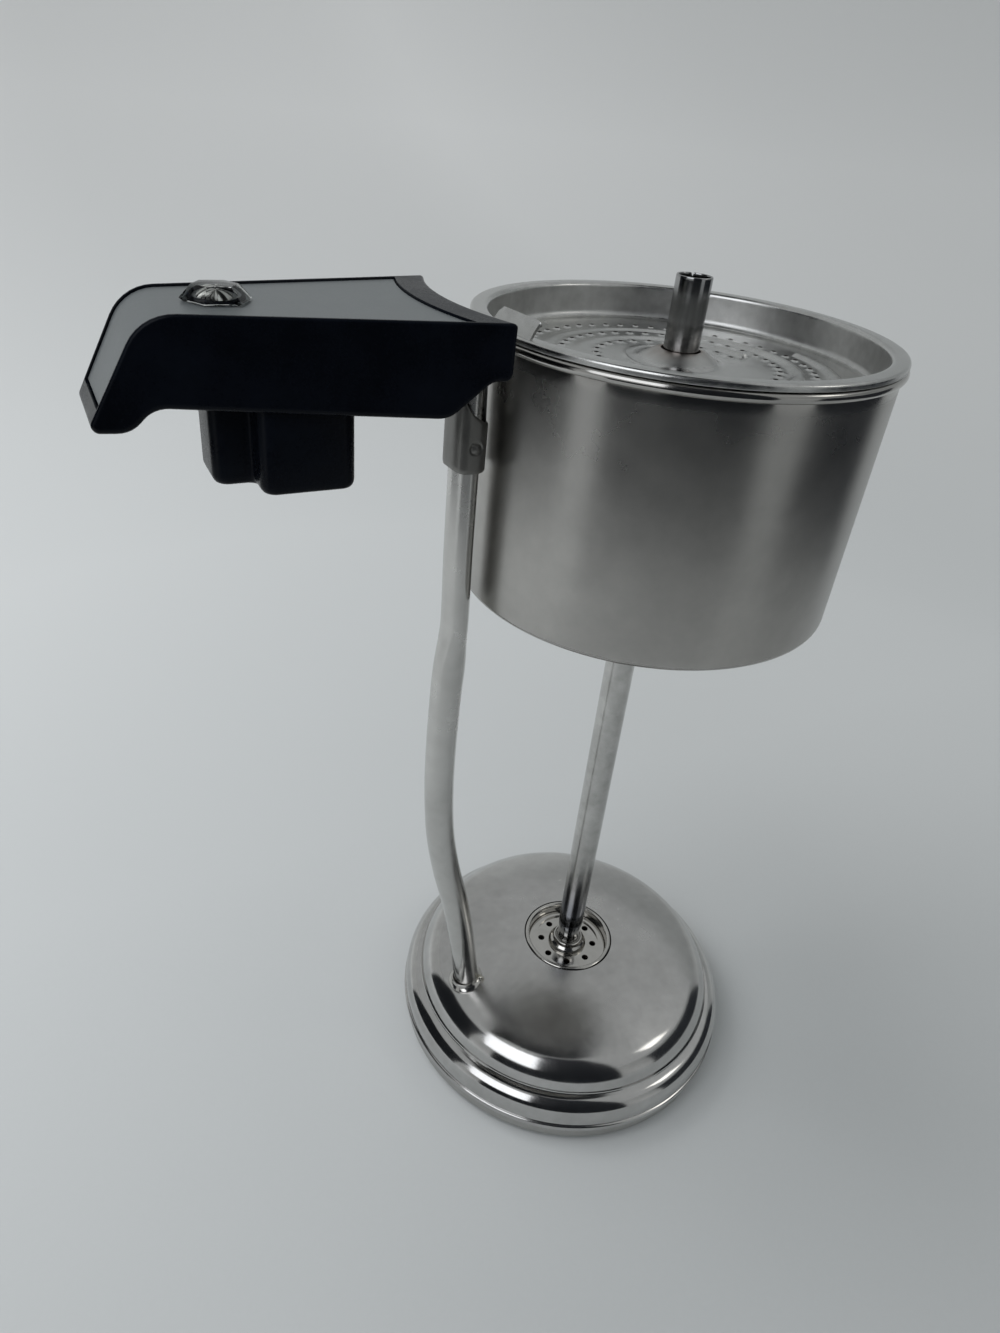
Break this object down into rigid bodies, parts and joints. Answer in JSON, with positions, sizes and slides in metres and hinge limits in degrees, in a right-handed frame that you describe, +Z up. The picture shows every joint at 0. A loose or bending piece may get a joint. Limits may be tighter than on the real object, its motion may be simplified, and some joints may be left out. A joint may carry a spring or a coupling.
{
  "type": "electric coffee percolator heater and pump insert",
  "caption": "Lift-out heater, pump tube and coffee basket of an electric percolator, with its handle and appliance inlet.",
  "frame": {"origin": "centre of the heater base's flat underside, on the axis of the pump tube", "axes": "+Z up along the pump tube, handle towards -X, +Y to the left of someone who looks along +X"},
  "size_m": [0.1789, 0.1096, 0.24],
  "materials": {
    "base_steel": "satin",
    "polished_steel": "polished",
    "basket_steel": "satin",
    "dull_steel": "satin",
    "cast_aluminium": "matte",
    "handle_black": "satin",
    "inlay_grey": "satin",
    "jewel_clear": "clear",
    "lamp_glass": "clear",
    "brass": "plain",
    "wire_cover": "matte"
  },
  "bodies": {
    "root": {"base_shell": "base_steel", "bottom_pan": "base_steel", "well_cup": "polished_steel", "boiling_chamber": "polished_steel", "heater_plate": "cast_aluminium", "heating_element": "dull_steel", "thermostat": "brass", "lead_wires": "wire_cover", "conduit_tube": "dull_steel", "conduit_collar": "polished_steel", "bracket": "dull_steel", "handle_body": "handle_black", "handle_plate": "inlay_grey", "jewel_lens": "jewel_clear", "signal_lamp": "lamp_glass", "inlet_shroud": "handle_black", "inlet_pins": "polished_steel", "pin_nuts": "brass", "handle_screws": "dull_steel"},
    "pump": {"pump_tube": "polished_steel", "pump_bell": "polished_steel", "pump_collar": "polished_steel", "strainer_disc": "polished_steel", "valve_stop": "dull_steel", "basket_stop": "polished_steel"},
    "valve": {"pump_valve": "polished_steel"},
    "basket": {"basket_body": "basket_steel", "basket_tube": "basket_steel"},
    "lid": {"spreader_lid": "polished_steel"}
  },
  "joints": [
    {"name": "pump_lift", "type": "slide", "parent": "root", "child": "pump", "axis": [0, 0, 1], "range_m": [0, 0.25]},
    {"name": "valve_lift", "type": "slide", "parent": "pump", "child": "valve", "axis": [0, 0, 1], "range_m": [0, 0.0014]},
    {"name": "basket_lift", "type": "slide", "parent": "pump", "child": "basket", "axis": [0, 0, 1], "range_m": [0, 0.09]},
    {"name": "lid_lift", "type": "slide", "parent": "basket", "child": "lid", "axis": [0, 0, 1], "range_m": [0, 0.03]}
  ]
}
